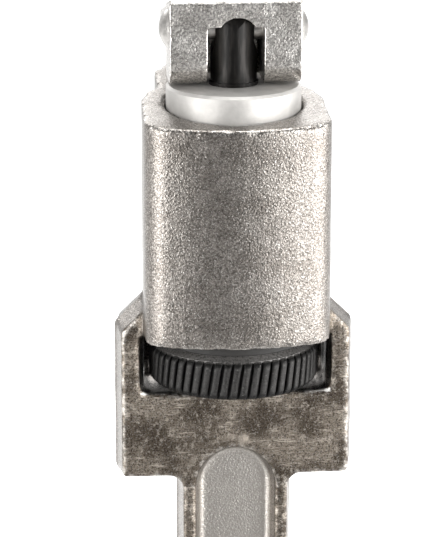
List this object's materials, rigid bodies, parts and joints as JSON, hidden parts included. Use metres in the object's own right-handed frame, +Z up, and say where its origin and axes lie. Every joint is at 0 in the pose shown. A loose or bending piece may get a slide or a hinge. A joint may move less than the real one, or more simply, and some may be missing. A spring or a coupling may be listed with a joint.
{
  "type": "adjustable hook jaw wrench",
  "caption": "Long-handled adjustable wrench with a hinged hook jaw, a screw-driven round shank and a knurled adjusting wheel in a window.",
  "frame": {"origin": "centre of the hang hole near the handle's end, in the middle of the handle's thickness", "axes": "+Z up along the handle towards the jaws, +Y from the tool's back towards its jaws, +X across the tool"},
  "size_m": [0.0532, 0.0584, 0.3726],
  "materials": {
    "satin_forging": "satin nickel over a shot-blasted forging",
    "tool_steel": "ground and hardened",
    "turned_steel": "fine turned",
    "bright_steel": "bright, lightly worn",
    "spring_steel": "oil tempered",
    "black_oxide": "semi-gloss black oxide",
    "black_phosphate": "matt black phosphate"
  },
  "bodies": {
    "handle_group": {"handle_body": "satin_forging", "heel_jaw": "tool_steel", "heel_jaw_pin": "bright_steel", "guide_screw": "black_oxide", "guide_lock_nut": "black_oxide"},
    "wheel_group": {"adjusting_wheel": "black_phosphate", "lead_screw": "bright_steel", "wheel_grub_screw": "black_oxide", "thrust_washer": "black_oxide", "lower_washer": "bright_steel", "disc_spring": "spring_steel"},
    "shank_group": {"shank": "turned_steel", "spring_seat_washer": "bright_steel", "stem_spring": "spring_steel"},
    "stem_group": {"stem": "black_oxide", "stem_nut": "black_oxide", "nut_pin": "bright_steel"},
    "jaw_group": {"hook_jaw": "satin_forging", "jaw_insert": "tool_steel", "insert_pins": "bright_steel", "hinge_rivet": "bright_steel"}
  },
  "joints": [
    {"name": "wheel_spin", "type": "hinge", "parent": "handle_group", "child": "wheel_group", "pos_m": [0, 0, 0.277], "axis": [0, 0, -1], "range_deg": [-271, 1081]},
    {"name": "shank_slide", "type": "slide", "parent": "handle_group", "child": "shank_group", "axis": [0, 0, 1], "range_m": [-0.003, 0.012]},
    {"name": "stem_lift", "type": "slide", "parent": "shank_group", "child": "stem_group", "axis": [0, 0, 1], "range_m": [0, 0.0025], "stiffness_N_per_m": 2000, "springref_m": -0.0015, "deforming": ["stem_spring"]},
    {"name": "jaw_swing", "type": "hinge", "parent": "stem_group", "child": "jaw_group", "pos_m": [0, 0, 0.3525], "axis": [1, 0, 0], "range_deg": [0, 30]}
  ],
  "couplings": [
    {"joint": "wheel_spin", "follows": "shank_slide", "rad_per_m": 1570.8}
  ]
}
